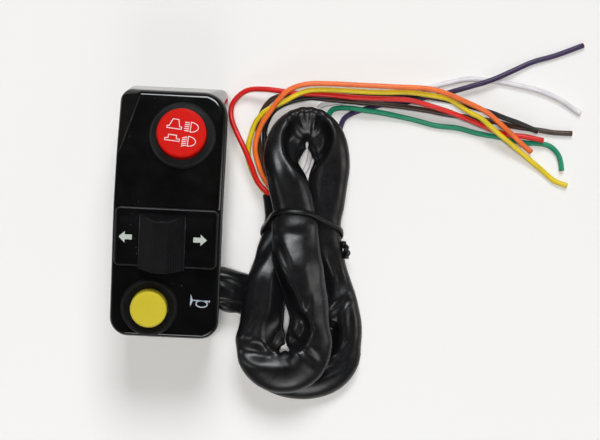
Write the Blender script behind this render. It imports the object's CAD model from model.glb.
# Dressed scene of the handlebar switch cluster: camera, materials, cords, housing, printed signs and light
import math

import bmesh
import bpy
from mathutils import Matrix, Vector, noise


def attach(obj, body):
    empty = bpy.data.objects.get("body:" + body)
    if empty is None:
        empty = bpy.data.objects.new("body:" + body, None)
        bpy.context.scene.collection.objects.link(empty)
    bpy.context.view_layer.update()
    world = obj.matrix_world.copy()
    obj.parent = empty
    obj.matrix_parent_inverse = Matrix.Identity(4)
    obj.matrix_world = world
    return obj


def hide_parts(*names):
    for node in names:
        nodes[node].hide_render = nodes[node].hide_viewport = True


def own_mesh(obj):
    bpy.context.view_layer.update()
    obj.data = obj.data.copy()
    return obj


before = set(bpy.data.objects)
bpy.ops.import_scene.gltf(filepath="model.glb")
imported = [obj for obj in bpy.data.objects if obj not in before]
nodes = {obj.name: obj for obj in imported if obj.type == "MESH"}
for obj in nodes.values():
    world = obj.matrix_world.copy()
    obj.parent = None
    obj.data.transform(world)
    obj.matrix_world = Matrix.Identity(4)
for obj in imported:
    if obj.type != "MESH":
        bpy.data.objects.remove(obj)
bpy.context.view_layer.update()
MM = 0.001
TINY = 1e-9
FULL_TURN = 2 * math.pi
WHITE = (1.0, 1.0, 1.0)

# Values repeated from the part's source, in millimetres and degrees
CREASE_Y, CREASE_Z = -3.0, 28.0
UPPER_TILT, LOWER_TILT = 8.0, 8.5
HEAD_X, HEAD_ALONG, HEAD_TOP, HEAD_TRAVEL = 3.3, 23.7, 6.0, 3.0
HORN_X, HORN_ALONG, HORN_TRAVEL = -4.9, 33.1, 2.5
PLATE_X, PLATE_ALONG, PLATE_W, PLATE_H = -0.3, 10.0, 33.6, 19.6
PLATE_LIP, PLATE_LIP_W, TROUGH_R = 0.9, 1.5, 30.0
KNOB_X, KNOB_ALONG, KNOB_W, KNOB_L, KNOB_H = -1.5, 11.2, 15.0, 18.4, 9.0
KNOB_LEAN, RIDGE_W, SKIRT_TOP = 1.6, 4.8, 2.1
SPRING_TURNS = 5
FLOOR_Z = -15.6
SLEEVE_W, SLEEVE_T = 13.0, 8.0
LEAD_R = 0.9

# Camera straight above, as in the photograph: place in metres, turn in degrees
CAMERA_PLACE, CAMERA_TURN = (0.0429, -0.0051, 0.726), 2.69
CAMERA_LENS, CAMERA_SENSOR = 129.24, 36.0
camera_data = bpy.data.cameras.new("camera")
camera_data.lens = CAMERA_LENS
camera_data.sensor_width = CAMERA_SENSOR
camera = bpy.data.objects.new("camera", camera_data)
camera.location = CAMERA_PLACE
camera.rotation_euler = (0.0, 0.0, math.radians(CAMERA_TURN))
bpy.context.scene.collection.objects.link(camera)
bpy.context.scene.camera = camera
bpy.context.scene.view_settings.view_transform = "Standard"


# Small helpers
def link(obj, body="housing"):
    bpy.context.scene.collection.objects.link(obj)
    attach(obj, body)
    return obj


def mesh_object(name, verts, faces, smooth=True, body="housing"):
    mesh = bpy.data.meshes.new(name)
    mesh.from_pydata([tuple(v) for v in verts], [], faces)
    mesh.update()
    for polygon in mesh.polygons:
        polygon.use_smooth = smooth
    return link(bpy.data.objects.new(name, mesh), body)


def flat_ends(obj):
    # The two end caps are a tube's last faces
    for polygon in (obj.data.polygons[-1], obj.data.polygons[-2]):
        polygon.use_smooth = False


def give(obj, material):
    obj.data.materials.clear()
    obj.data.materials.append(material)


def on_upper(x, along, z=0.0):
    a = math.radians(UPPER_TILT)
    return Vector((x, CREASE_Y + along * math.cos(a) + z * math.sin(a),
                   CREASE_Z - along * math.sin(a) + z * math.cos(a))) * MM


def on_lower(x, along, z=0.0):
    a = math.radians(LOWER_TILT)
    return Vector((x, CREASE_Y - along * math.cos(a) - z * math.sin(a),
                   CREASE_Z - along * math.sin(a) + z * math.cos(a))) * MM


def face_normal(tilt):
    return Vector((0.0, math.sin(math.radians(tilt)), math.cos(math.radians(tilt))))


def angles(count):
    return [FULL_TURN * k / count for k in range(count)]


def ramp(u, low, high):
    t = min(max((u - low) / (high - low), 0.0), 1.0)
    return t * t * (3.0 - 2.0 * t)


def smooth_line(points, steps):
    # A Catmull-Rom curve through the points
    out = []
    for i in range(len(points) - 1):
        b, c = points[i], points[i + 1]
        a = points[i - 1] if i > 0 else 2 * b - c
        d = points[i + 2] if i + 2 < len(points) else 2 * c - b
        for j in range(steps):
            t = j / steps
            out.append(0.5 * (2 * b + (c - a) * t + (2 * a - 5 * b + 4 * c - d) * t * t
                              + (3 * b - a - 3 * c + d) * t ** 3))
    out.append(points[-1])
    return out


def lengths(points):
    total = [0.0]
    for a, b in zip(points, points[1:]):
        total.append(total[-1] + (b - a).length)
    return total


def even_places(points, step):
    # Places spread evenly along a line: segment, share of that segment, distance from the start
    total = lengths(points)
    count = round(total[-1] / step)
    places, k = [], 0
    for i in range(count + 1):
        s = total[-1] * i / count
        while k < len(points) - 2 and total[k + 1] < s:
            k += 1
        t = (s - total[k]) / max(total[k + 1] - total[k], TINY)
        places.append((k, min(max(t, 0.0), 1.0), s))
    return places


def tube_faces(rows, sides, base=0, closed=False, flip=False):
    # Faces between rings of points, with two end caps unless the rings close on themselves
    faces = []
    for i in range(rows if closed else rows - 1):
        a, b = base + i * sides, base + (i + 1) % rows * sides
        for k in range(sides):
            n = (k + 1) % sides
            faces.append((a + k, b + k, b + n, a + n) if flip else (a + k, a + n, b + n, b + k))
    if not closed:
        first = tuple(range(base, base + sides))
        last = tuple(range(base + (rows - 1) * sides, base + rows * sides))
        faces += [first, last[::-1]] if flip else [first[::-1], last]
    return faces


# Materials
class Nodes:
    def __init__(self, name):
        self.material = bpy.data.materials.new(name)
        self.material.use_nodes = True
        self.tree = self.material.node_tree
        self.shader = self.tree.nodes["Principled BSDF"]
        self.where = self.tree.nodes.new("ShaderNodeTexCoord").outputs["Object"]

    def add(self, kind, **values):
        node = self.tree.nodes.new(kind)
        for key, value in values.items():
            if key in node.inputs:
                node.inputs[key].default_value = value
            else:
                setattr(node, key, value)
        return node

    def join(self, out, into):
        self.tree.links.new(out, into)

    def feed(self, socket, out):
        self.join(out, self.shader.inputs[socket])

    def hold(self, socket, value):
        self.shader.inputs[socket].default_value = value

    def noise(self, scale, detail=3.0, roughness=0.55, where=None):
        node = self.add("ShaderNodeTexNoise", Scale=scale, Detail=detail, Roughness=roughness)
        self.join(where or self.where, node.inputs["Vector"])
        return node.outputs["Fac"]

    def stretch(self, size):
        node = self.add("ShaderNodeMapping", Scale=size)
        self.join(self.where, node.inputs["Vector"])
        return node.outputs["Vector"]

    def spread(self, fac, low, high, from_low=0.3, from_high=0.7):
        node = self.add("ShaderNodeMapRange")
        node.inputs["From Min"].default_value = from_low
        node.inputs["From Max"].default_value = from_high
        node.inputs["To Min"].default_value = low
        node.inputs["To Max"].default_value = high
        self.join(fac, node.inputs["Value"])
        return node.outputs["Result"]

    def mix(self, fac, a, b):
        node = self.add("ShaderNodeMix", data_type="RGBA")
        self.join(fac, node.inputs[0])
        for value, socket in ((a, node.inputs[6]), (b, node.inputs[7])):
            if hasattr(value, "is_linked"):
                self.join(value, socket)
            else:
                socket.default_value = (*value, 1.0)
        return node.outputs[2]

    def between(self, fac, a, b):
        return self.mix(self.spread(fac, low=0.0, high=1.0), a, b)

    def bump(self, height, strength, distance, before=None):
        node = self.add("ShaderNodeBump", Strength=strength, Distance=distance)
        self.join(height, node.inputs["Height"])
        if before:
            self.join(before, node.inputs["Normal"])
        return node.outputs["Normal"]

    def specks(self, scale, size):
        cells = self.add("ShaderNodeTexVoronoi", Scale=scale)
        self.join(self.where, cells.inputs["Vector"])
        near = self.spread(cells.outputs["Distance"], low=1.0, high=0.0, from_low=size * 0.6, from_high=size)
        some = self.spread(self.noise(scale * 0.11), low=0.0, high=1.0, from_low=0.56, from_high=0.6)
        both = self.add("ShaderNodeMath", operation="MULTIPLY")
        self.join(near, both.inputs[0])
        self.join(some, both.inputs[1])
        return both.outputs[0]


def shade(colour, factor):
    return tuple(min(1.0, c * factor) for c in colour)


PLASTIC_DUST, VINYL_DUST = (0.1, 0.1, 0.105), (0.12, 0.12, 0.12)
VINYL_DARK, VINYL_LIGHT = (0.0042, 0.0043, 0.005), (0.0082, 0.0083, 0.0094)
BOARD_DARK, BOARD_LIGHT = (0.12, 0.05, 0.02), (0.24, 0.11, 0.05)


def moulded(name, colour, rough, vary=0.35, grain=0.0, wave=0.0, dust=False, specular=0.5):
    m = Nodes(name)
    cloud = m.noise(scale=70.0, detail=4.0)
    base = m.between(cloud, shade(colour, 1.0 - vary), shade(colour, 1.0 + vary))
    shine = m.spread(m.noise(scale=240.0, detail=5.0), low=rough * 0.8, high=rough * 1.25)
    normal = None
    if wave:
        normal = m.bump(m.noise(scale=110.0, detail=2.0), strength=wave, distance=0.001)
    if grain:
        normal = m.bump(m.noise(scale=2600.0, detail=2.0), strength=grain, distance=0.0002, before=normal)
    if dust:
        base = m.mix(m.specks(scale=620.0, size=0.1), base, PLASTIC_DUST)
    m.feed("Base Color", base)
    m.feed("Roughness", shine)
    if normal:
        m.feed("Normal", normal)
    m.hold("Specular IOR Level", specular)
    return m.material


def metal(name, colour, rough, brushed=(1.0, 1.0, 1.0)):
    m = Nodes(name)
    line = m.noise(scale=900.0, detail=4.0, roughness=0.6, where=m.stretch(brushed))
    m.feed("Base Color", m.between(line, shade(colour, 0.75), shade(colour, 1.1)))
    m.feed("Roughness", m.spread(line, low=rough * 0.7, high=rough * 1.4))
    m.feed("Normal", m.bump(line, strength=0.15, distance=0.0001))
    m.hold("Metallic", 1.0)
    return m.material


def board(name):
    m = Nodes(name)
    fibre = m.noise(scale=500.0, detail=6.0, roughness=0.65, where=m.stretch((1.0, 6.0, 1.0)))
    m.feed("Base Color", m.between(fibre, BOARD_DARK, BOARD_LIGHT))
    m.feed("Roughness", m.spread(fibre, low=0.45, high=0.65))
    m.feed("Normal", m.bump(fibre, strength=0.2, distance=0.0001))
    return m.material


def vinyl(name):
    m = Nodes(name)
    base = m.between(m.noise(scale=120.0, detail=4.0), VINYL_DARK, VINYL_LIGHT)
    m.feed("Base Color", m.mix(m.specks(scale=520.0, size=0.09), base, VINYL_DUST))
    m.feed("Roughness", m.spread(m.noise(scale=300.0, detail=5.0), low=0.26, high=0.36))
    m.hold("Specular IOR Level", 0.4)
    crease = m.bump(m.noise(scale=420.0, detail=3.0, roughness=0.5), strength=0.09, distance=0.0006)
    grain = m.noise(scale=3000.0, detail=2.0)
    m.feed("Normal", m.bump(grain, strength=0.04, distance=0.0001, before=crease))
    return m.material


def insulation(name, colour):
    m = Nodes(name)
    base = m.between(m.noise(scale=200.0, detail=4.0), shade(colour, 0.88), shade(colour, 1.1))
    m.feed("Base Color", m.mix(m.specks(scale=700.0, size=0.12), base, shade(colour, 0.55)))
    m.feed("Roughness", m.spread(m.noise(scale=500.0, detail=4.0), low=0.3, high=0.46))
    m.feed("Normal", m.bump(m.noise(scale=900.0, detail=3.0), strength=0.12, distance=0.0002))
    return m.material


def paint(name, colour):
    m = Nodes(name)
    wear = m.noise(scale=1500.0, detail=4.0)
    m.feed("Base Color", m.between(wear, shade(colour, 0.9), shade(colour, 1.05)))
    m.feed("Roughness", m.spread(wear, low=0.4, high=0.6))
    return m.material


gloss_black = moulded("gloss_black", (0.003, 0.003, 0.0033), 0.12, wave=0.02, dust=True)
clamp_black = moulded("clamp_black", (0.004, 0.004, 0.0044), 0.42, wave=0.03, grain=0.03, specular=0.25)
matt_black = moulded("matt_black", (0.006, 0.006, 0.0064), 0.5, grain=0.06, specular=0.2)
plate_black = moulded("plate_black", (0.0032, 0.0032, 0.0035), 0.42, grain=0.02, dust=True, specular=0.025)
rim_black = moulded("rim_black", (0.011, 0.0113, 0.0132), 0.36, grain=0.02, specular=0.25)
knob_black = moulded("knob_black", (0.0052, 0.0052, 0.006), 0.42, grain=0.03, specular=0.12)
dish_black = moulded("dish_black", (0.005, 0.005, 0.0054), 0.5, grain=0.05, specular=0.16)
red_cap = moulded("red_cap", (0.6, 0.006, 0.002), 0.42, vary=0.05, grain=0.02, specular=0.1)
yellow_cap = moulded("yellow_cap", (0.6, 0.5, 0.03), 0.42, vary=0.05, grain=0.02, specular=0.2)
switch_black = moulded("switch_black", (0.03, 0.03, 0.032), 0.5, grain=0.2)
acetal = moulded("acetal", (0.72, 0.7, 0.62), 0.45, vary=0.06, grain=0.1)
nylon = moulded("nylon", (0.7, 0.69, 0.64), 0.42, vary=0.06, grain=0.1)
phenolic = board("phenolic")
brass = metal("brass", (0.75, 0.52, 0.2), 0.32)
spring_steel = metal("spring_steel", (0.55, 0.56, 0.58), 0.28, (1.0, 1.0, 8.0))
screw_steel = metal("screw_steel", (0.6, 0.61, 0.62), 0.34)
copper = metal("copper", (0.78, 0.36, 0.2), 0.35)
sleeve_vinyl = vinyl("sleeve_vinyl")
tie_black = moulded("tie_black", (0.0035, 0.0035, 0.004), 0.32, grain=0.12, specular=0.35)
white_print = paint("white_print", (0.86, 0.74, 0.76))
arrow_print = paint("arrow_print", (0.5, 0.56, 0.51))
horn_print = paint("horn_print", (0.42, 0.5, 0.6))
lead_colours = {
    "red": (0.66, 0.012, 0.008), "orange": (0.85, 0.16, 0.025), "yellow": (0.76, 0.58, 0.01),
    "brown": (0.05, 0.026, 0.017), "black": (0.008, 0.008, 0.009), "white": (0.72, 0.7, 0.74),
    "green": (0.004, 0.24, 0.13), "violet": (0.035, 0.017, 0.07),
}
lead_materials = {k: insulation("insulation_" + k, v) for k, v in lead_colours.items()}
grey_lead = insulation("insulation_grey", (0.05, 0.05, 0.055))

cad_materials = {
    "clamp_screws": screw_steel, "threaded_inserts": brass,
    "headlight_collar": matt_black, "headlight_button": red_cap,
    "headlight_switch_body": switch_black, "headlight_contact": brass, "headlight_base": phenolic,
    "headlight_terminals": brass, "turn_slider": acetal, "turn_wiper": brass,
    "turn_detent_spring": spring_steel, "turn_contact_board": phenolic, "turn_contacts": brass,
    "board_screws": screw_steel, "horn_collar": dish_black, "horn_button": yellow_cap,
    "horn_switch_body": switch_black, "horn_contact": brass,
    "horn_base": phenolic, "horn_terminals": brass, "inner_leads": grey_lead, "inner_tie": nylon,
}
for name, material in cad_materials.items():
    give(nodes[name], material)

# The soft sleeve on its solid's route, in turns: a fold at each whole turn, the waist at each half
WAIST_Y = -6.0
# The third of these lies 1.1 mm further left than the solid's
WAIST_X = (38.0, 50.9, 41.2, 36.6)
# Each fold: x of the run in and of the run out, reach from the waist, share of a turn in which it swings over
FOLDS = ((32.0, 59.0, -53.5, 0.2), (52.6, 35.6, 32.3, 0.3), (47.8, 31.5, -49.5, 0.2))
FOLD_OPEN, DRAW, LAST_DRAW = 0.25, 2.0, 1.3
SLEEVE_LOW = FLOOR_Z + SLEEVE_T / 2 + 0.2
LAYER = SLEEVE_T + 1.6
BUNDLE_LIFT, END_LIFT = 2.8, 1.6
BUNDLE_RISE, LAYER_RISE, END_FALL = (1.36, 1.5), (2.08, 2.38), (3.35, 3.5)
TURN_START, TURN_END, TURN_STEPS = 0.74, 3.53, 240
EXIT_Y, EXIT_Z = -29.5, FLOOR_Z + 8.2
EXIT_STEPS = 4
MOUTH_OUT, MOUTH_TURN, MOUTH_STEPS = 5.0, 0.05, 5
MOUTH_WAY = Vector((-0.1, 1.0, -0.2))

# The run in front is puffed up below the tie, which the solid leaves out
PUFF, PUFF_RISE, PUFF_END, PUFF_FADE = 1.6, (2.5, 2.61), 2.98, 0.3


def hank_z(u):
    bundle = BUNDLE_LIFT * ramp(u, *BUNDLE_RISE)
    layer = (LAYER - BUNDLE_LIFT) * ramp(u, *LAYER_RISE)
    fall = (LAYER - END_LIFT) * ramp(u, *END_FALL)
    puff = PUFF * min(ramp(u, *PUFF_RISE), ramp(PUFF_END - u, 0.0, PUFF_FADE))
    return SLEEVE_LOW + bundle + layer - fall + puff


def hank_point(u):
    k = min(max(math.floor(u + 0.5), 1), len(FOLDS))
    t = u - k
    leg_in, leg_out, reach, share = FOLDS[k - 1]
    swing = math.sin(math.pi / 2 * min(max(t / share, -1.0), 1.0))
    if abs(t) < FOLD_OPEN:
        wide = 1.0
    elif t > 2 * FOLD_OPEN:
        wide = 0.0
    else:
        wide = abs(math.sin(FULL_TURN * abs(t))) ** (LAST_DRAW if u > len(FOLDS) else DRAW)
    waist = (WAIST_X[k - 1] + WAIST_X[k]) / 2 + (WAIST_X[k] - WAIST_X[k - 1]) / 2 * swing
    bight = (leg_in + leg_out) / 2 + (leg_out - leg_in) / 2 * swing
    return Vector((waist + (bight - waist) * wide, WAIST_Y + reach * math.cos(math.pi * t), hank_z(u)))


sleeve_route = [Vector(p) for p in (
    (11, EXIT_Y, EXIT_Z), (14, EXIT_Y, EXIT_Z), (16, EXIT_Y, EXIT_Z), (18, -29.8, EXIT_Z),
    (20, -30.3, SLEEVE_LOW + 3.6), (22, -30.8, SLEEVE_LOW + 2.6), (24, -31.3, SLEEVE_LOW + 1.6),
    (26, -32.1, SLEEVE_LOW + 0.8), (28, -33.4, SLEEVE_LOW + 0.2), (29.5, -34.7, SLEEVE_LOW),
    (30.8, -36.4, SLEEVE_LOW), (31.6, -38.2, SLEEVE_LOW), (32, -40, SLEEVE_LOW))]
mouth = hank_point(TURN_END)
route = [(p, 0.0) for p in smooth_line(sleeve_route, EXIT_STEPS)[:-1]]
for i in range(TURN_STEPS + 1):
    u = TURN_START + (TURN_END - TURN_START) * i / TURN_STEPS
    route.append((hank_point(u), u))
for i in range(1, MOUTH_STEPS + 1):
    share = i / MOUTH_STEPS
    route.append((mouth + MOUTH_WAY * MOUTH_OUT * share, TURN_END + MOUTH_TURN * share))

# Turn, half width and half thickness of the sleeve: flat on the runs, drawn in at the tie
STATIONS = (
    (0.0, 7.2, 4.0), (0.74, 6.7, 4.0), (1.0, 6.9, 3.7), (1.25, 6.9, 3.9), (1.42, 6.2, 4.0),
    (1.5, 5.9, 4.0), (1.57, 6.8, 4.0), (1.66, 6.7, 4.0), (1.75, 6.4, 4.1), (1.88, 6.8, 4.2),
    (2.0, 7.4, 4.3), (2.15, 7.0, 4.2), (2.25, 6.4, 4.1), (2.31, 6.1, 4.0), (2.39, 6.9, 3.7),
    (2.46, 7.2, 3.4), (2.53, 8.1, 4.5), (2.6, 8.2, 5.7), (2.66, 7.4, 5.4), (2.73, 6.8, 4.7),
    (2.8, 8.0, 4.0), (2.9, 8.2, 3.7), (3.1, 8.4, 3.7), (3.2, 8.4, 3.6), (3.26, 7.5, 3.6),
    (3.34, 7.2, 3.5), (3.42, 6.4, 3.4), (3.48, 5.8, 3.3), (3.6, 6.3, 3.2))

# Creases down to the inside of a fold: a crest, by turn, place across and width, then the drop beyond it
CREASES = (
    (((1.62, 1.1, 0.5), (1.69, 0.85, 0.5), (1.75, 0.3, 0.45), (1.86, -0.5, 0.6), (1.94, -0.8, 1.3),
      (2.0, -0.85, 1.5), (2.06, -0.75, 1.3), (2.12, -0.5, 0.7), (2.2, -0.2, 0.45), (2.345, 0.7, 0.45),
      (2.42, 1.1, 0.5)), 6.2),
    (((2.55, 1.1, 0.5), (2.62, 0.57, 0.5), (2.66, 0.4, 0.5), (2.7, 0.25, 0.5), (2.75, -0.1, 0.5),
      (2.8, 0.1, 0.6), (2.88, 0.6, 0.6)), 4.5),
    (((3.1, 0.6, 0.6), (3.2, 0.1, 0.6), (3.25, 0.1, 0.6), (3.3, 0.29, 0.6), (3.38, 0.24, 0.6),
      (3.44, 0.9, 0.6)), 3.0),
    (((1.14, 1.1, 0.4), (1.19, 0.3, 0.4), (1.24, 0.1, 0.4), (1.28, 0.2, 0.4), (1.31, 1.1, 0.4)), 5.0),
    (((1.32, 1.1, 0.9), (1.345, 0.3, 0.9), (1.365, 0.0, 0.9), (1.395, -0.2, 0.9), (1.43, 0.1, 0.9),
      (1.46, 0.6, 0.9), (1.48, 1.1, 0.9)), 2.2))
CREASE_STEPS, CREASE_EASE, CREST_ROUND = 8, 0.04, 0.01

# Folds pressed into the sleeve: first and last turn, x, y, direction, half length, half width, depth
DENTS = (
    (2.75, 3.35, 30.5, -50.6, -8, 7.0, 2.9, 3.2), (2.8, 3.3, 36.8, -45.0, 60, 5.0, 1.5, 1.2),
    (2.6, 3.2, 43.6, -46.5, 135, 5.0, 1.3, 1.2), (2.5, 3.1, 46.2, -38.5, 82, 7.5, 1.2, 1.3),
    (2.5, 3.1, 48.5, -50.5, 140, 7.0, 1.8, 0.8), (2.45, 2.75, 41.0, -9.6, 4, 8.0, 1.8, 0.5),
    (2.45, 2.9, 37.6, -17.0, 118, 6.5, 1.4, 1.1), (3.1, 3.5, 30.0, -17.5, 55, 7.0, 1.8, 1.3),
    (3.0, 3.4, 31.5, -33.0, 86, 11.0, 2.6, 0.9), (3.0, 3.4, 28.5, -41.0, 70, 6.0, 1.3, 0.8),
    (2.5, 2.9, 48.8, -22.0, 100, 9.0, 2.0, 0.7), (1.0, 1.5, 57.6, -33.8, 40, 4.5, 1.3, 1.6),
    (1.0, 1.5, 56.4, -42.0, 78, 7.0, 1.5, 1.2), (1.0, 1.5, 57.0, -24.0, 105, 7.5, 1.8, 1.0),
    (0.8, 1.3, 52.5, -56.5, 18, 8.0, 1.5, 1.2), (0.8, 1.4, 59.0, -49.5, 60, 6.0, 1.4, 1.0),
    (1.1, 1.5, 61.5, -38.0, 95, 6.0, 1.2, 0.6), (1.8, 2.2, 38.4, 28.6, 126, 4.0, 0.8, 1.1),
    (1.8, 2.2, 40.8, 30.6, 116, 4.6, 0.8, 1.9), (1.8, 2.2, 43.6, 31.4, 96, 5.0, 0.7, 2.2),
    (1.8, 2.2, 46.4, 30.8, 84, 5.6, 0.9, 2.0), (1.7, 2.1, 49.4, 27.8, 58, 4.4, 0.9, 1.3),
    (-0.5, 0.5, 22.0, -34.8, -8, 7.0, 0.9, 1.4), (-0.5, 0.5, 20.5, -27.6, -16, 4.0, 1.2, 0.9),
    (-0.5, 0.5, 24.5, -30.0, -24, 4.0, 1.0, 0.7), (1.55, 2.0, 53.0, 9.0, 95, 10.0, 1.8, 0.6),
    (2.0, 2.5, 36.0, 12.0, 108, 9.0, 2.0, 0.6))
DENT_REACH, DENT_EASE = 14.0, 0.06
DENT_SWELL, DENT_SWELL_SIZE = 0.32, 3.4

# The run in front leans a little where it comes over the others
ROLL, ROLL_RISE, ROLL_END, ROLL_FADE = math.radians(9.0), (2.5, 2.57), 2.82, 0.12


def roll(u):
    return ROLL * min(ramp(u, *ROLL_RISE), ramp(ROLL_END - u, 0.0, ROLL_FADE))


def station(u):
    for (u0, w0, t0), (u1, w1, t1) in zip(STATIONS, STATIONS[1:]):
        if u <= u1:
            k = ramp(u, u0, u1)
            return w0 + (w1 - w0) * k, t0 + (t1 - t0) * k
    return STATIONS[-1][1:]


def eased(u, low, high, ease):
    return min(ramp(u, low, low + ease), ramp(high - u, 0.0, ease))


def pressed(u, point):
    total = 0.0
    for low, high, x, y, angle, long, short, depth in DENTS:
        if low < u < high:
            c, s = math.cos(math.radians(angle)), math.sin(math.radians(angle))
            a = (point.x - x) * c + (point.y - y) * s
            b = (point.y - y) * c - (point.x - x) * s
            r = (a / long) ** 2 + (b / short) ** 2
            if r < DENT_REACH:
                form = math.exp(-r) - DENT_SWELL * math.exp(-r / DENT_SWELL_SIZE)
                total += depth * eased(u, low, high, DENT_EASE) * form
    return total


crest_lines = [(smooth_line([Vector(p) for p in crest], CREASE_STEPS), drop) for crest, drop in CREASES]


def crests_at(u):
    found = []
    for line, drop in crest_lines:
        low, high = line[0].x, line[-1].x
        if low < u < high:
            k = next(i for i in range(1, len(line)) if u <= line[i].x)
            here = line[k - 1].lerp(line[k], (u - line[k - 1].x) / (line[k].x - line[k - 1].x))
            found.append((here.y, drop * eased(u, low, high, CREASE_EASE), here.z))
    return found


def creased(crests, inward):
    total = 0.0
    for crest, drop, wide in crests:
        t = (inward - crest) / wide
        t = min((t + math.sqrt(t * t + CREST_ROUND)) / 2, 1.0)
        total += drop * (1.0 - (1.0 - t) ** 2)
    return total


def plan_bend(line, i, reach=8):
    # Radians of turn to a millimetre, seen from above
    a, b, c = line[max(i - reach, 0)], line[i], line[min(i + reach, len(line) - 1)]
    u, v = (b - a), (c - b)
    if u.length < TINY or v.length < TINY:
        return 0.0
    turn = math.atan2(u.x * v.y - u.y * v.x, u.x * v.x + u.y * v.y)
    return turn / (u.length + v.length) * 2.0


# Form of the sleeve's wall: its section, the side that each fold gathers on, and its unevenness
SLEEVE_SIDES, RING_STEP, SQUARENESS = 88, 0.5, 2.3
FOLD_SIDES = ((1.0, 2.5, -1.0), (2.5, 3.5, 1.0))
FULL_BEND, LEAST_BEND, BEND_GAP, LEAST_ROOM = 0.09, 0.001, 1.6, 2.5
SOFT_WAVE, FINE_WAVE = 0.35, 0.1
GATHER_DEPTH, GATHER_RIDGE, RIDGE_FROM = 0.5, 1.1, 0.3
TOP_FOLD, TOP_GATHER = (1.75, 2.25), 0.2
TOP_PLEATS, PLEAT_FADE = (1.8, 2.2), (0.1, 0.5)
EXIT_PLEATS, EXIT_PLEAT_DEPTH, EXIT_FADE = 6, 0.12, (13.0, 24.0)
DENT_SIDE, CREASE_SIDE = (-0.3, 0.3), (-0.1, 0.5)
LEAST_T, FLOOR_GAP = 0.8, 0.1
SMOOTH_PASSES, SMOOTH_SHARE = 2, 0.5
MOUTH_RIMS = ((0.9, 0.0), (0.84, 2.5))


def squarer(c):
    return math.copysign(abs(c) ** (2.0 / SQUARENESS), c)


def fold_side(u, bend):
    for low, high, side in FOLD_SIDES:
        if low <= u < high:
            return side
    return 1.0 if bend < 0 else -1.0


def waves(s, x, z):
    soft = noise.noise(Vector((s * 0.05, x * 0.12, z * 0.2 + 3.0)))
    fine = noise.noise(Vector((s * 0.2, x * 0.16 + 7.0, z * 0.3)))
    return SOFT_WAVE * soft + FINE_WAVE * fine


def gathers(u, s, ca, sa):
    ridge = 1.0 - 2.0 * abs(noise.noise(Vector((s * 0.16, 5.0 + ca, 1.0 + 0.4 * sa))))
    depth = GATHER_DEPTH + GATHER_RIDGE * max(0.0, ridge - RIDGE_FROM)
    return depth * (TOP_GATHER if TOP_FOLD[0] < u < TOP_FOLD[1] else 1.0)


def exit_pleats(s, a):
    drift = 3.0 * noise.noise(Vector((s * 0.12, 2.0, a)))
    return (1.0 - ramp(s, *EXIT_FADE)) * EXIT_PLEAT_DEPTH * math.sin(EXIT_PLEATS * a + drift)


def sleeve_ring(i, p, u, s):
    # Points of the sleeve's wall round one place on its route, in metres
    t = (sleeve_line[min(i + 1, len(sleeve_line) - 1)] - sleeve_line[max(i - 1, 0)]).normalized()
    across = Vector((t.y, -t.x, 0.0)).normalized()
    up = across.cross(t)
    bend = plan_bend(sleeve_line, i)
    tight = min(abs(bend) / FULL_BEND, 1.0)
    inside = fold_side(u, bend)
    half_w, half_t = station(u)
    room = min(1.0, max(1.0 / max(abs(bend), LEAST_BEND) - BEND_GAP, LEAST_ROOM) / half_w)
    crests, lean = crests_at(u), math.sin(roll(u))
    ring = []
    for a in angles(SLEEVE_SIDES):
        ca, sa = math.cos(a), math.sin(a)
        x, z = squarer(ca) * half_w, squarer(sa) * half_t
        facing = max(0.0, ca * inside)
        if facing:
            x *= room
        inward = inside * x / half_w
        point = p + across * x + up * (z + x * lean)
        fade = 1.0 - ramp(inward, *PLEAT_FADE) if TOP_PLEATS[0] < u < TOP_PLEATS[1] else 1.0
        push = waves(s, x, z) - tight * facing * gathers(u, s, ca, sa)
        push += exit_pleats(s, a) - pressed(u, point) * ramp(sa, *DENT_SIDE) * fade
        drop = min(creased(crests, inward) * ramp(sa, *CREASE_SIDE), max(z + half_t - LEAST_T, 0.0))
        out = (across * ca / half_w + up * sa / half_t).normalized()
        place = point + out * push - up * drop
        place.z = max(place.z, FLOOR_Z + FLOOR_GAP)
        ring.append(place * MM)
    return ring


route_line = [p for p, u in route]
rings = []
for k, t, s in even_places(route_line, RING_STEP):
    u = route[k][1] + (route[k + 1][1] - route[k][1]) * t
    rings.append((route_line[k].lerp(route_line[k + 1], t), u, s))
sleeve_line = [p for p, u, s in rings]
verts = []
for i, (p, u, s) in enumerate(rings):
    verts += sleeve_ring(i, p, u, s)

# The cut end turns inwards, so that its mouth is a shallow hollow
heading = (sleeve_line[-1] - sleeve_line[-2]).normalized()
sleeve_end = sleeve_line[-1] * MM
last_ring = verts[-SLEEVE_SIDES:]
for keep, back in MOUTH_RIMS:
    verts += [sleeve_end + (v - sleeve_end) * keep - heading * back * MM for v in last_ring]
sleeve = mesh_object("sleeve", verts, tube_faces(len(verts) // SLEEVE_SIDES, SLEEVE_SIDES, flip=True))
work = bmesh.new()
work.from_mesh(sleeve.data)
for i in range(SMOOTH_PASSES):
    bmesh.ops.smooth_vert(work, verts=work.verts, factor=SMOOTH_SHARE,
                          use_axis_x=True, use_axis_y=True, use_axis_z=True)
work.to_mesh(sleeve.data)
work.free()
flat_ends(sleeve)
give(sleeve, sleeve_vinyl)
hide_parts("sleeve_lead", "sleeve_hank")

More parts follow.
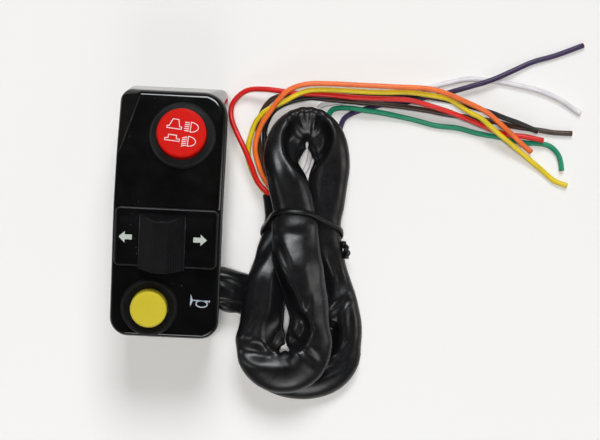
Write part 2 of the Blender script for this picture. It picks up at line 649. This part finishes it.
# The tie: a flat band drawn tight round the three runs at the waist, with its ends twisted together
TIE_LEAN, TIE_GAP, TIE_T, TIE_W = math.radians(33.0), 0.15, 0.8, 2.1
TIE_Y, TIE_Z = WAIST_Y - 1.8, SLEEVE_LOW + LAYER / 2
TIE_TURNS, TIE_STEP, STRAND_POINTS = (1.48, 2.46, 3.48), 0.9, 48
TIE_PROFILE = ((-1.0, 0.35), (-0.8, 1.0), (0.0, 1.1), (0.8, 1.0), (1.0, 0.35),
               (1.0, -0.6), (0.8, -1.0), (-0.8, -1.0), (-1.0, -0.6))
TWIST_ROUTE = ((57.6, -11.6, -8.2), (58.6, -13.2, -8.0), (59.3, -15.2, -8.2), (59.2, -17.6, -9.0))
TWIST_STEPS, TWIST_TURNS, TWIST_OFF = 9, 1.4, 0.55
TWIST_R, TWIST_TIP_R, TWIST_SIDES = 0.78, 0.35, 10


def hull_2d(points):
    points = sorted(set((round(x, 6), round(y, 6)) for x, y in points))

    def half(row):
        out = []
        for p in row:
            while len(out) > 1 and ((out[-1][0] - out[-2][0]) * (p[1] - out[-2][1])
                                    - (out[-1][1] - out[-2][1]) * (p[0] - out[-2][0])) <= 0:
                out.pop()
            out.append(p)
        return out[:-1]
    return half(points) + half(points[::-1])


def tie_outline():
    grow = TIE_GAP + TIE_T / 2
    around = []
    for u in TIE_TURNS:
        strand = hank_point(u)
        half_w, half_t = station(u)
        for a in angles(STRAND_POINTS):
            x = strand.x + (half_w + grow) * math.cos(a)
            around.append((x, strand.z + (half_t + grow) * math.sin(a)))
    loop = [Vector((x, z, 0.0)) for x, z in hull_2d(around)]
    loop.append(loop[0])
    return [loop[k].lerp(loop[k + 1], t) for k, t, s in even_places(loop, TIE_STEP)][:-1]


def tie_band():
    outline = tie_outline()
    c, s = math.cos(TIE_LEAN), math.sin(TIE_LEAN)
    verts = []
    for i, q in enumerate(outline):
        t = (outline[(i + 1) % len(outline)] - outline[i - 1]).normalized()
        normal = Vector((t.y, -t.x, 0.0))
        for wide, thick in TIE_PROFILE:
            r = q + normal * (thick * TIE_T / 2)
            rise = (r.y - TIE_Z) / c
            side = wide * TIE_W / 2
            verts.append(Vector((r.x, TIE_Y + rise * s + side * c, TIE_Z + rise * c - side * s)) * MM)
    return verts, tube_faces(len(outline), len(TIE_PROFILE), closed=True)


def twisted_end(start):
    centres = smooth_line([Vector(p) for p in TWIST_ROUTE], TWIST_STEPS)
    last = len(centres) - 1
    verts = []
    for i, centre in enumerate(centres):
        a = start + TWIST_TURNS * FULL_TURN * i / last
        off = Vector((TWIST_OFF * math.cos(a), 0.0, TWIST_OFF * math.sin(a)))
        r = TWIST_R if 0 < i < last else TWIST_TIP_R
        verts += [(centre + off + Vector((r * math.cos(b), 0.0, r * math.sin(b)))) * MM
                  for b in angles(TWIST_SIDES)]
    return verts


verts, faces = tie_band()
for start in (0.0, math.pi):
    end = twisted_end(start)
    faces += tube_faces(len(end) // TWIST_SIDES, TWIST_SIDES, base=len(verts))
    verts += end
tie = mesh_object("tie", verts, faces)
give(tie, tie_black)
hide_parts("hank_tie")

# The eight leads, each from its own place on the sleeve's end: column and row there, then the route
SLOT_STEP, LEAD_OUT, LEAD_STEPS = 2.3, 3.0, 5
COLUMN_MIDDLE, ROW_MIDDLE = 1.5, 0.5
lead_routes = {
    "red": (0, 1, (
        (28, 7, -10), (25.5, 12.5, -9.6), (23, 18, -9.6), (20, 23.5, -11), (18, 28, -13),
        (17.5, 32, -14), (19, 35.5, -13.8), (23, 38.5, -12), (29, 39, -10), (35, 38.5, -9),
        (41, 38, -8.3), (50, 38, -8.3), (60, 37.5, -8.3), (70, 37.5, -8.3), (78, 37.5, -8.5),
        (85, 36, -9), (92.5, 34, -9.6), (100, 31.5, -11), (107, 29, -12.3), (112, 27.5, -12.5),
        (119, 27, -12.5), (125, 26, -12.4))),
    "orange": (1, 1, (
        (30, 8.5, -8.6), (27.5, 14, -7.2), (26.5, 18.5, -6.6), (27, 22.5, -6.4), (28.5, 27, -6),
        (31, 31, -5.4), (33.5, 35, -4.8), (37.5, 39, -4.2), (43, 41, -4.1), (50, 41.5, -4.1),
        (58.5, 41.5, -4.1), (67.5, 41.5, -4.1), (75, 41.5, -4.3), (83.5, 41.5, -4.8),
        (89.5, 40.5, -5.3), (96.5, 38, -6.4), (104, 35, -8.2), (109, 31.5, -9.6), (114.5, 27, -10.4),
        (117.5, 24.5, -11.6), (121, 22, -13.4))),
    "yellow": (0, 0, (
        (29.5, 5, -12.2), (27, 8.5, -12.2), (24.5, 14, -12.2), (24, 19, -12), (25, 24, -10.6),
        (26.5, 28, -9.2), (29.5, 31.5, -7.8), (35, 34.5, -6.8), (40, 37.5, -6.3), (44, 39, -6.2),
        (50, 39.5, -6.2), (59, 39.5, -6.2), (68, 39.5, -6.2), (77.5, 40, -6.6), (84, 39.5, -6.8),
        (91, 38.5, -7.4), (95, 36.5, -8), (99.5, 34, -8.6), (103, 32.5, -9.2), (108, 28.5, -10),
        (113.5, 24.5, -11.6), (119, 20.5, -13.4), (125, 16, -14.6), (129.5, 12.5, -14.6),
        (134, 11, -14.6))),
    "brown": (1, 0, (
        (30, 11, -13.6), (28.5, 16, -14.2), (27.5, 21, -14.5), (27, 26.5, -14.5), (28, 31, -14.4),
        (30, 34.5, -14), (32.5, 36.5, -13.6), (37.5, 37.5, -13), (44.5, 37, -12.6), (54.5, 36.5, -12.5),
        (65, 36, -12.5), (74.5, 35.5, -12.5), (84.5, 34.5, -12.5), (91.5, 33.5, -12.6),
        (102, 32.5, -12.8), (109.5, 31.5, -13.2), (114.5, 30.5, -14), (119.5, 30, -14.6),
        (124.5, 29.5, -14.6), (129, 29, -14.6), (135, 29, -14.6))),
    "black": (2, 1, (
        (31.5, 10, -11), (30, 16, -11.4), (29.5, 21, -12), (29.5, 26, -12.4), (31.5, 31, -12),
        (35, 34, -11.4), (40, 36, -10.8), (46, 37, -10.4), (58, 38.5, -10.4), (70, 39, -10.4),
        (80, 39, -10.4), (85, 39, -10.4), (89, 38.5, -10.3), (94.5, 37.5, -10.3), (101, 36, -10.7),
        (107, 34.5, -11), (111.5, 33, -11.5), (116.5, 31.5, -12.2), (123, 29, -12.4))),
    "white": (2, 0, (
        (38, 4.5, -13.4), (40, 7.5, -14.2), (42.5, 10, -14.6), (44.5, 13.5, -14.6), (45.5, 19, -14.6),
        (46, 25, -14.6), (46.5, 30.5, -14.6), (48.5, 34.5, -14.6), (54.5, 36, -14.6), (65, 37.5, -14.6),
        (75, 40, -14.6), (83.5, 42, -14.6), (88.5, 43.5, -14.6), (92, 44.5, -14.6), (98, 46, -14.6),
        (103, 46, -14.6), (110, 45.5, -14.6), (116.5, 44.5, -14.6), (123.5, 43, -14.6),
        (130, 40.5, -14.6), (135, 37.5, -14.6), (137.5, 36, -14.6))),
    "green": (3, 1, (
        (40.5, 4, -11), (43, 6, -12.3), (46, 8.5, -13.8), (48.5, 12.5, -14.6), (49.5, 18, -14.6),
        (50, 24, -14.6), (50.5, 29.5, -14.6), (52, 33, -14.2), (55, 34, -13.4), (59, 34, -12.6),
        (63.5, 33.5, -12.6), (69, 33, -13.4), (75.5, 32, -14.4), (81, 31, -14.6), (88, 29.5, -14.6),
        (95.5, 29, -14.6), (102.5, 27.5, -14.6), (110, 26.5, -14.6), (115, 25.5, -14.6),
        (119.5, 25, -14.6), (124.5, 25, -14.6), (128, 24, -14.6), (130.5, 21.5, -14.6),
        (131.5, 19, -14.6), (132, 16, -14.6))),
    "violet": (3, 0, (
        (41, 3.5, -13.6), (45, 4.5, -14.6), (48.5, 6.5, -14.6), (51.5, 10, -14.6), (53, 15, -14.6),
        (54, 20.5, -14.6), (55, 26, -14.6), (56.5, 30.5, -14.6), (60.5, 33, -14.6), (65, 34.5, -14.6),
        (70, 36, -14.6), (75.5, 36.5, -14.6), (79, 37.5, -14.6), (84, 39, -14.6), (89, 40, -13.8),
        (93.5, 41.5, -12.9), (99.5, 43.5, -12.6), (106.5, 46, -12.6), (113.5, 49.5, -13.8),
        (120.5, 53, -14.6), (128, 55.5, -14.6), (137.5, 59.5, -14.6))),
}
STRANDS, STRAND_R, STRAND_RING, STRAND_SIDES = 6, 0.15, 0.32, 8
STRAND_FROM, STRAND_TO = -0.6, 0.18


def copper_end(name, tip, direction):
    # Strands round a middle one, cut flush, that just show in the middle of the cut insulation
    side = direction.cross(Vector((0, 0, 1))).normalized()
    up = side.cross(direction)
    verts, faces = [], []
    places = [(0.0, 0.0)] + [(STRAND_RING * math.cos(a), STRAND_RING * math.sin(a)) for a in angles(STRANDS)]
    for x, y in places:
        faces += tube_faces(2, STRAND_SIDES, base=len(verts))
        for along in (STRAND_FROM, STRAND_TO):
            verts += [(tip + direction * along + side * (x + STRAND_R * math.cos(a))
                       + up * (y + STRAND_R * math.sin(a))) * MM for a in angles(STRAND_SIDES)]
    core = mesh_object(name, verts, faces, smooth=False)
    give(core, copper)
    return core


def round_tube(name, line, radius, sides=16, body="housing"):
    verts = []
    last = len(line) - 1
    for i, p in enumerate(line):
        t = (line[min(i + 1, last)] - line[max(i - 1, 0)]).normalized()
        side = t.cross(Vector((0, 0, 1))).normalized()
        up = side.cross(t)
        verts += [(p + side * radius * math.cos(a) + up * radius * math.sin(a)) * MM for a in angles(sides)]
    tube = mesh_object(name, verts, tube_faces(len(line), sides, flip=True), body=body)
    flat_ends(tube)
    return tube


for colour, (column, row, way) in lead_routes.items():
    place = Vector(((column - COLUMN_MIDDLE) * SLOT_STEP, 0.0, (row - ROW_MIDDLE) * SLOT_STEP))
    begin = mouth + place
    line = smooth_line([begin, begin + Vector((0, LEAD_OUT, 0))] + [Vector(p) for p in way], LEAD_STEPS)
    wire = round_tube("wire_" + colour, line, LEAD_R)
    give(wire, lead_materials[colour])
    core = copper_end("strands_" + colour, line[-1], (line[-1] - line[-2]).normalized())
    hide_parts("lead_" + colour)

# Housing pieces: the solids with welded points, weighted normals and softened edges
WELD_GAP, FLAT_ANGLE, NORMAL_WEIGHT = 0.004, 0.6, 60
RIM_W, EDGE_STEPS, PLATE_SOFT, KNOB_SOFT, KNOB_ANGLE = 0.6, 3, 0.25, 0.12, 20.0
NEAR = 0.1
CORNER_EDGE, CORNER_EDGE_R, CORNER_EDGE_SINK = ((-17.0, 14.2, 25.6), (-11.1, 33.0, 22.95)), 0.3, 0.2
KNOB_EDGE_R, KNOB_EDGE_SIDES, KNOB_EDGE_SINK, HIP_IN, RIDGE_IN = 0.2, 10, 0.1, 0.25, 0.05


def dressed(name, node, material, body, bevel=0.0, angle=32.0, rim=None):
    mesh = nodes[node].data.copy()
    mesh.name = name
    work = bmesh.new()
    work.from_mesh(mesh)
    bmesh.ops.remove_doubles(work, verts=work.verts, dist=WELD_GAP * MM)
    flat = math.radians(FLAT_ANGLE)
    bmesh.ops.dissolve_limit(work, angle_limit=flat, verts=work.verts, edges=work.edges)
    weight = work.edges.layers.float.new("bevel_weight_edge") if rim else None
    for edge in work.edges:
        sharp = len(edge.link_faces) == 2 and edge.calc_face_angle(0.0) > math.radians(angle)
        edge.smooth = not sharp
        if rim and sharp and all(rim(v.co) for v in edge.verts):
            edge[weight] = 1.0
    for face in work.faces:
        face.smooth = True
    work.to_mesh(mesh)
    work.free()
    if "custom_normal" in mesh.attributes:
        mesh.attributes.remove(mesh.attributes["custom_normal"])
    obj = link(bpy.data.objects.new(name, mesh), body)
    if rim:
        edge_band = obj.modifiers.new("rim", "BEVEL")
        edge_band.width = RIM_W * MM
        edge_band.segments = EDGE_STEPS
        edge_band.limit_method = "WEIGHT"
        edge_band.material = 1
    if bevel:
        soft = obj.modifiers.new("soft_edges", "BEVEL")
        soft.width = bevel * MM
        soft.segments = EDGE_STEPS
        soft.limit_method = "ANGLE"
        soft.angle_limit = math.radians(angle)
    weigh = obj.modifiers.new("weighted", "WEIGHTED_NORMAL")
    weigh.keep_sharp = True
    weigh.weight = NORMAL_WEIGHT
    give(obj, material)
    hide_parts(node)
    return obj


def on_plate_rim(point):
    # On the outer edge of the plate's lip
    lower = math.radians(LOWER_TILT)
    x, y, z = point.x / MM - PLATE_X, point.y / MM - CREASE_Y, point.z / MM - CREASE_Z
    along = -y * math.cos(lower) - z * math.sin(lower) - PLATE_ALONG
    height = z * math.cos(lower) - y * math.sin(lower)
    inner_w, inner_h = PLATE_W / 2 - PLATE_LIP_W, PLATE_H / 2 - PLATE_LIP_W
    outer = abs(x) > inner_w + NEAR or abs(along) > inner_h + NEAR
    return outer and height > PLATE_LIP - NEAR


dressed("housing_shell", "front_housing", gloss_black, "housing")
sunk = face_normal(UPPER_TILT) * CORNER_EDGE_SINK
corner_edge = round_tube("facet_edge", [Vector(p) - sunk for p in CORNER_EDGE], CORNER_EDGE_R)
give(corner_edge, rim_black)
dressed("clamp_shell", "rear_clamp", clamp_black, "housing")
plate = dressed("signal_plate", "turn_plate", plate_black, "housing", bevel=PLATE_SOFT, rim=on_plate_rim)
plate.data.materials.append(rim_black)
dressed("signal_knob", "turn_knob", knob_black, "turn_switch", bevel=KNOB_SOFT, angle=KNOB_ANGLE)

# Fine beads along the knob's edges: the hip at its upper end and both sides
knob_side, knob_low = KNOB_W / 2 - KNOB_EDGE_SINK, SKIRT_TOP - KNOB_EDGE_SINK
knob_head, knob_foot = KNOB_ALONG - KNOB_L / 2, KNOB_ALONG + KNOB_L / 2 - KNOB_EDGE_SINK
hip_foot = (knob_side, knob_head + HIP_IN, knob_low)
hip_top = (RIDGE_W / 2, knob_head + KNOB_LEAN + RIDGE_IN, KNOB_H - KNOB_EDGE_SINK)
side_end = (knob_side, knob_foot, knob_low)


def mirrored(place):
    return (-place[0], place[1], place[2])


knob_edges = {
    "knob_hip": (mirrored(hip_foot), mirrored(hip_top), hip_top, hip_foot),
    "knob_side_left": (mirrored(hip_foot), mirrored(side_end)),
    "knob_side_right": (hip_foot, side_end),
}
for name, places in knob_edges.items():
    line = [on_lower(KNOB_X + x, along, z) / MM for x, along, z in places]
    edge = round_tube(name, line, KNOB_EDGE_R, KNOB_EDGE_SIDES, "turn_switch")
    give(edge, rim_black)

# Button springs, placed and sized by their solids: each shortens as its button goes down
SPRING_STEPS, SPRING_SIDES, SPRING_SPARE = 24, 10, 0.05


def button_spring(name, node, seat, tilt):
    up = face_normal(tilt)
    ahead = Vector((0.0, up.z, -up.y))
    offsets = [v.co - seat for v in nodes[node].data.vertices]
    heights = [p.dot(up) / MM for p in offsets]
    reaches = [(p - up * p.dot(up)).length / MM for p in offsets]
    wire = (max(reaches) - min(reaches)) / 2
    coil = (max(reaches) + min(reaches)) / 2
    low, high = min(heights), max(heights)
    steps = SPRING_TURNS * SPRING_STEPS
    line = []
    for i in range(steps + 1):
        a = FULL_TURN * SPRING_TURNS * i / steps
        rise = low + wire + (high - low - 2 * wire) * i / steps
        around = Vector((coil * math.cos(a), 0.0, 0.0)) + ahead * coil * math.sin(a)
        line.append(seat / MM + around + up * rise)
    spring = round_tube(name, line, wire, SPRING_SIDES)
    give(spring, spring_steel)
    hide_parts(node)
    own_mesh(spring)


button_spring("headlight_coil", "headlight_spring",
              seat=on_upper(HEAD_X, HEAD_ALONG), tilt=UPPER_TILT)
button_spring("horn_coil", "horn_spring",
              seat=on_lower(HORN_X, HORN_ALONG), tilt=-LOWER_TILT)


# Printed signs: flat strokes a few hundredths of a millimetre thick
def ribbon(line, width, closed=False):
    # Outline quads of a stroke through 2-D points, with mitred corners
    count = len(line)
    left, right = [], []
    for i in range(count):
        a = line[i - 1] if closed or i > 0 else None
        c = line[(i + 1) % count] if closed or i < count - 1 else None
        b = line[i]
        before = (b - a).normalized() if a is not None else (c - b).normalized()
        after = (c - b).normalized() if c is not None else before
        n0, n1 = Vector((-before.y, before.x)), Vector((-after.y, after.x))
        miter = (n0 + n1).normalized() if (n0 + n1).length > TINY else n0
        size = width / 2 / max(miter.dot(n0), 0.5)
        left.append(b + miter * size)
        right.append(b - miter * size)
    quads = []
    for i in range(count if closed else count - 1):
        j = (i + 1) % count
        quads.append([left[i], right[i], right[j], left[j]])
    return quads


def printed(name, shapes, place, material, body, low=0.01, thick=0.03):
    # shapes are 2-D polygons; place maps x, y, height to the part's frame in metres
    verts, faces = [], []
    for shape in shapes:
        base, n = len(verts), len(shape)
        area = sum(p.x * q.y - q.x * p.y for p, q in zip(shape, shape[1:] + shape[:1]))
        ring = shape if area > 0 else shape[::-1]
        verts += [place(p.x, p.y, z) for z in (low, low + thick) for p in ring]
        faces.append(tuple(base + n + i for i in range(n)))
        faces.append(tuple(base + i for i in range(n - 1, -1, -1)))
        for i in range(n):
            j = (i + 1) % n
            faces.append((base + i, base + j, base + n + j, base + n + i))
    sign = mesh_object(name, verts, faces, smooth=False, body=body)
    give(sign, material)
    return sign


def turned(shapes, angle, dx, dy):
    c, s = math.cos(math.radians(angle)), math.sin(math.radians(angle))
    return [[Vector((p.x * c - p.y * s + dx, p.x * s + p.y * c + dy)) for p in shape] for shape in shapes]


def points_2d(*pairs):
    return [Vector(p) for p in pairs]


# Sizes of the signs in millimetres: strokes, lamp, beams, button and arrow
STROKE, BEAM_STROKE, HORN_STROKE, HORN_END_STROKE = 0.25, 0.27, 0.36, 0.26
LAMP_W, LAMP_H, LAMP_STEPS = 2.5, 1.6, 16
BEAMS, BEAM_STEP, BEAM_NEAR, BEAM_FAR = 5, 0.68, -0.45, -2.0
BUTTON_HALF, BUTTON_BRIM = 2.35, 0.75
ARROW_REACH, ARROW_NECK, ARROW_HEAD, ARROW_SHAFT = 2.2, -0.15, 1.85, 0.82
SIGN_TURN, HORN_TURN = -5.3, -1.5


def lamp(slant):
    turns = [math.pi * k / LAMP_STEPS for k in range(LAMP_STEPS + 1)]
    bow = [Vector((LAMP_W * math.sin(a), LAMP_H * math.cos(a))) for a in turns]
    shapes = ribbon(bow, STROKE, closed=True)
    for k in range(BEAMS):
        y = BEAM_STEP * (BEAMS // 2 - k)
        shapes += ribbon(points_2d((BEAM_NEAR, y), (BEAM_FAR, y - slant)), BEAM_STROKE)
    return shapes


def button_sign(height, foot, top, lean):
    dome = points_2d((-BUTTON_HALF, 0), (BUTTON_HALF, 0), (BUTTON_HALF, BUTTON_BRIM), (foot, BUTTON_BRIM),
                     (top + lean, height), (-top + lean, height), (-foot, BUTTON_BRIM),
                     (-BUTTON_HALF, BUTTON_BRIM))
    return ribbon(dome, STROKE, closed=True)


def on_cap(x, y, z):
    return on_upper(HEAD_X + x, HEAD_ALONG + y, HEAD_TOP + z)


cap_signs = (("sign_out", button_sign(3.1, 1.7, 0.95, 0.2), -2.4, 1.25),
             ("sign_in", button_sign(1.9, 1.35, 1.3, 0.0), -2.95, -2.75),
             ("sign_high_beam", lamp(0.0), 2.95, 1.9), ("sign_low_beam", lamp(0.55), 2.25, -2.75))
for name, shapes, dx, dy in cap_signs:
    sign = printed(name, turned(shapes, SIGN_TURN, dx, dy), on_cap, white_print, "headlight_button")


def on_plate(x, y, z):
    off = y + PLATE_ALONG
    return on_lower(x, -y, TROUGH_R - math.sqrt(TROUGH_R ** 2 - off ** 2) + z)


def arrow():
    head = points_2d((ARROW_NECK, -ARROW_HEAD), (ARROW_NECK, ARROW_HEAD), (-ARROW_REACH, 0))
    shaft = points_2d((ARROW_NECK, ARROW_SHAFT), (ARROW_REACH, ARROW_SHAFT),
                      (ARROW_REACH, -ARROW_SHAFT), (ARROW_NECK, -ARROW_SHAFT))
    return [head, shaft]


for name, angle, x, y in (("sign_left", 0.0, -13.6, -10.3), ("sign_right", 180.0, 10.8, -10.3)):
    sign = printed(name, turned(arrow(), angle, x, y), on_plate, arrow_print, "housing")


def on_low_face(x, y, z):
    return on_lower(x, -y, z)


def horn():
    shapes = [points_2d((-3.2, 2.0), (-3.2, -2.0), (-2.85, -1.3), (-2.4, -0.2), (-2.4, 0.2), (-2.85, 1.3))]
    shapes += ribbon(points_2d((-2.6, 0.1), (3.0, 0.1)), HORN_STROKE)
    shapes += ribbon(points_2d((3.05, 0.5), (3.05, -0.35)), HORN_END_STROKE)
    loop = [Vector((0.55 + 1.85 * math.cos(a), -0.95 - 1.05 * math.sin(a))) for a in angles(32)]
    return shapes + ribbon(loop, HORN_STROKE, closed=True)


horn_sign = printed("sign_horn", turned(horn(), HORN_TURN, 11.6, -30.4), on_low_face, horn_print, "housing")

# Floor
FLOOR_HALF = 3.0
FLOOR_DARK, FLOOR_LIGHT = (0.86, 0.86, 0.855), (0.9, 0.9, 0.895)
floor_sides = ((-1, -1), (1, -1), (1, 1), (-1, 1))
floor_corners = [(x * FLOOR_HALF, y * FLOOR_HALF, FLOOR_Z * MM) for x, y in floor_sides]
floor_mesh = bpy.data.meshes.new("floor")
floor_mesh.from_pydata(floor_corners, [], [(0, 1, 2, 3)])
floor = bpy.data.objects.new("floor", floor_mesh)
bpy.context.scene.collection.objects.link(floor)
floor_look = Nodes("floor_look")
floor_look.feed("Base Color", floor_look.between(floor_look.noise(scale=2.0), FLOOR_DARK, FLOOR_LIGHT))
floor_look.hold("Roughness", 0.7)
floor_look.hold("Specular IOR Level", 0.2)
floor.data.materials.append(floor_look.material)

# Light: places and sizes in metres, spreads in degrees
HIGH_PLACE, HIGH_AIM = (0.09, 0.72, 0.9), (0.03, 0.0, 0.0)
LOW_PLACE, LOW_AIM = (0.12, -0.78, 0.85), (0.04, 0.0, 0.0)
OVER_PLACE, OVER_AIM = (0.043, -0.005, 1.0), (0.043, -0.005, 0.0)
SOFT_SPREAD, OVER_SPREAD = 24.0, 9.0
COOL, WARM, WARMER = (0.965, 0.99, 1.0), (1.0, 0.985, 0.96), (1.0, 0.965, 0.935)


def light(name, kind, place, aim, strength, colour=WHITE, diffuse=True, glossy=True):
    data = bpy.data.lights.new(name, kind)
    data.energy = strength
    data.color = colour
    obj = bpy.data.objects.new(name, data)
    obj.location = place
    obj.rotation_euler = (Vector(aim) - Vector(place)).to_track_quat("-Z", "Y").to_euler()
    obj.visible_diffuse = diffuse
    obj.visible_glossy = glossy
    bpy.context.scene.collection.objects.link(obj)
    return data


def wide_sun(name, place, aim, strength, spread=SOFT_SPREAD, **more):
    light(name, "SUN", place, aim, strength, **more).angle = math.radians(spread)


def area_light(name, place, aim, strength, size, **more):
    data = light(name, "AREA", place, aim, strength, **more)
    data.shape = "RECTANGLE"
    data.size, data.size_y = size


wide_sun("key", HIGH_PLACE, HIGH_AIM, 1.58, colour=COOL)
wide_sun("overhead", OVER_PLACE, OVER_AIM, 1.64, OVER_SPREAD, colour=WARMER, glossy=False)
wide_sun("fill_low", LOW_PLACE, LOW_AIM, 0.3)
wide_sun("gloss_low", LOW_PLACE, LOW_AIM, 0.5, diffuse=False)
wide_sun("gloss_high", HIGH_PLACE, HIGH_AIM, 0.25, diffuse=False)
area_light("fill_left", (-0.75, -0.1, 0.95), (0.0, 0.0, 0.0), 2.0, size=(0.25, 0.6), diffuse=False)
area_light("fill_right", (0.95, 0.1, 0.6), (0.05, 0.0, 0.0), 2.0, size=(0.3, 0.6), colour=WARM, diffuse=False)

# Surroundings: lighter round the horizon, dark overhead
SKY_FADE = {"From Min": 0.55, "From Max": 0.9, "To Min": 0.12, "To Max": 0.004}
world = bpy.data.worlds.new("surroundings")
world.use_nodes = True
bpy.context.scene.world = world
tree = world.node_tree
where = tree.nodes.new("ShaderNodeTexCoord")
split = tree.nodes.new("ShaderNodeSeparateXYZ")
tree.links.new(where.outputs["Generated"], split.inputs[0])
height = tree.nodes.new("ShaderNodeMapRange")
for socket, value in SKY_FADE.items():
    height.inputs[socket].default_value = value
tree.links.new(split.outputs["Z"], height.inputs["Value"])
tree.nodes["Background"].inputs["Color"].default_value = (*WHITE, 1.0)
tree.links.new(height.outputs["Result"], tree.nodes["Background"].inputs["Strength"])

bpy.context.view_layer.update()
